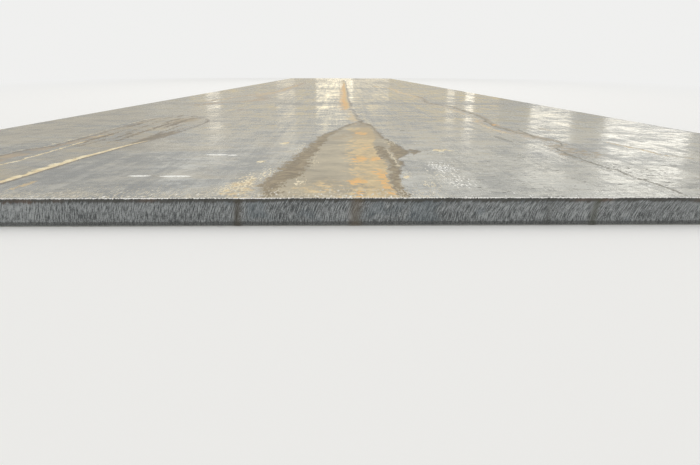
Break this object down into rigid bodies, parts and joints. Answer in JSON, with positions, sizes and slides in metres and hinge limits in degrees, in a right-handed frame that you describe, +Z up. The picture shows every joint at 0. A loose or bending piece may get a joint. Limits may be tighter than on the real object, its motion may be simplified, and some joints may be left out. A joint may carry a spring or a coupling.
{
  "type": "steel plate",
  "caption": "Long thick rectangular plate of hot-rolled steel with mill scale on its faces and torch-cut edges, raw stock to cut, weld or build from.",
  "frame": {"origin": "middle of the underside, which lies on the floor", "axes": "+Z up, through the thickness; +Y along the length, the rolling direction, away from the end that the picture shows; +X across the width, to the right in the picture"},
  "size_m": [2, 10, 0.04],
  "materials": {
    "hot_rolled_steel": "satin"
  },
  "bodies": {
    "root": {"steel_plate": "hot_rolled_steel"}
  },
  "joints": []
}
